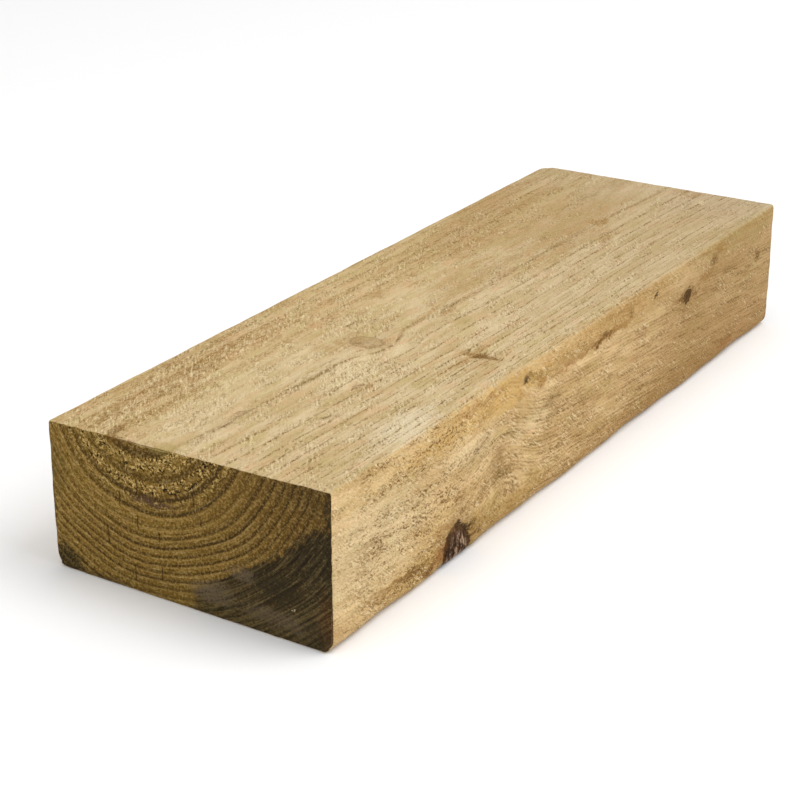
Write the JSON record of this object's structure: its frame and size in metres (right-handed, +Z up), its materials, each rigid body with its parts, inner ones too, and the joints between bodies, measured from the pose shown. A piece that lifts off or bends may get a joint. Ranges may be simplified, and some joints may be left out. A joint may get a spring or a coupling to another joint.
{
  "type": "railway sleeper",
  "caption": "Short solid softwood sleeper, a flat rectangular timber with sawn ends and worn edges, for edging, walls and steps.",
  "frame": {"origin": "middle of the lower wide face, on the surface that the sleeper lies on", "axes": "+X along the grain away from the stained end, +Y across the width away from the knotty side, +Z up through the depth"},
  "size_m": [0.6, 0.2, 0.1],
  "materials": {
    "treated_softwood": "rough sawn, pressure treated and weathered, matt"
  },
  "bodies": {
    "root": {"sleeper": "treated_softwood"}
  },
  "joints": []
}
